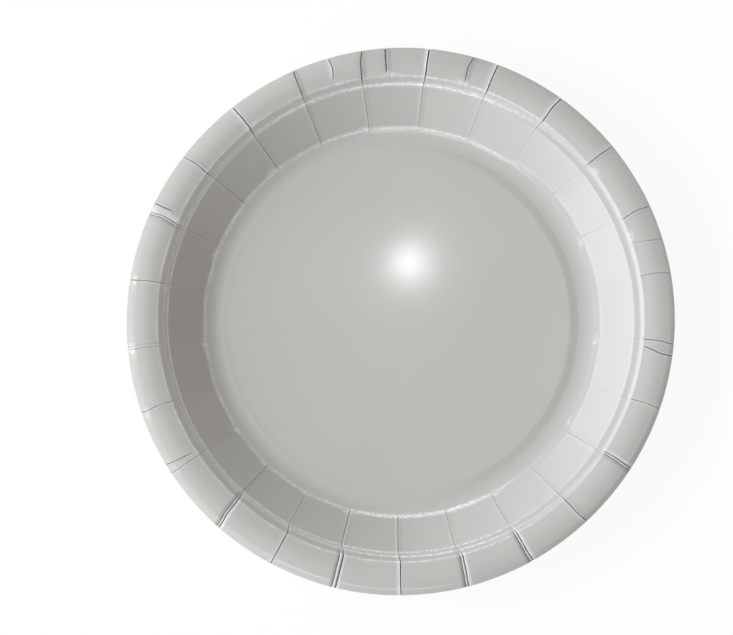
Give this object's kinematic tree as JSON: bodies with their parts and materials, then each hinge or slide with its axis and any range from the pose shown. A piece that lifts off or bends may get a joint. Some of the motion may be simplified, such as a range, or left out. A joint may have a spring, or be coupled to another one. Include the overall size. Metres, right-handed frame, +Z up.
{
  "type": "paper plate",
  "caption": "Round shallow plate pressed from one sheet of varnished paperboard, with scored pleats from the wall to a turned-down rim, for serving food.",
  "frame": {"origin": "middle of the flat foot ring, on the table", "axes": "+Z up along the plate's axis; +X and +Y lie in the table, +Y towards the top of the picture"},
  "size_m": [0.23, 0.2301, 0.0181],
  "materials": {
    "board": "light warm grey paperboard, gloss varnish above, plain uncoated board below"
  },
  "bodies": {
    "root": {"plate": "board"}
  },
  "joints": []
}
